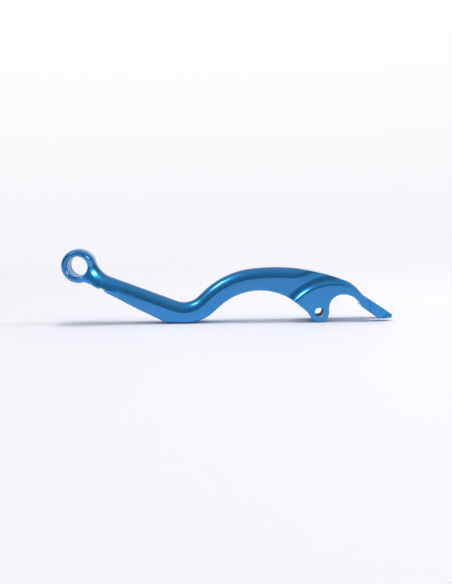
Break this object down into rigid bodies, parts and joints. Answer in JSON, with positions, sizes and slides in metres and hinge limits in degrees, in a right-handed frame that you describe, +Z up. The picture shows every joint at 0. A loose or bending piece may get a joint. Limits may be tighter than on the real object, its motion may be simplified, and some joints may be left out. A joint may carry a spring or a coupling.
{
  "type": "motorcycle clutch lever",
  "caption": "Machined hand lever with a rounded S-shaped blade, a bored ball end, a break-off notch, a bushed pivot fork and a forked tail.",
  "frame": {"origin": "middle of the pivot bore, halfway through the fork", "axes": "+Y along the pivot axis, +X from the pivot towards the forked tail, +Z up with the lever standing on its valley and its pivot lug, so the ball end is at -X and raised"},
  "size_m": [0.1852, 0.014, 0.0428],
  "materials": {
    "anodised_aluminium": "clear-sealed blue anodising over a machined surface, satin on the rounded finger edge",
    "bush_steel": "turned and darkened, bright along its edges"
  },
  "bodies": {
    "root": {"lever_blade": "anodised_aluminium", "pivot_bush_near": "bush_steel", "pivot_bush_far": "bush_steel"}
  },
  "joints": []
}
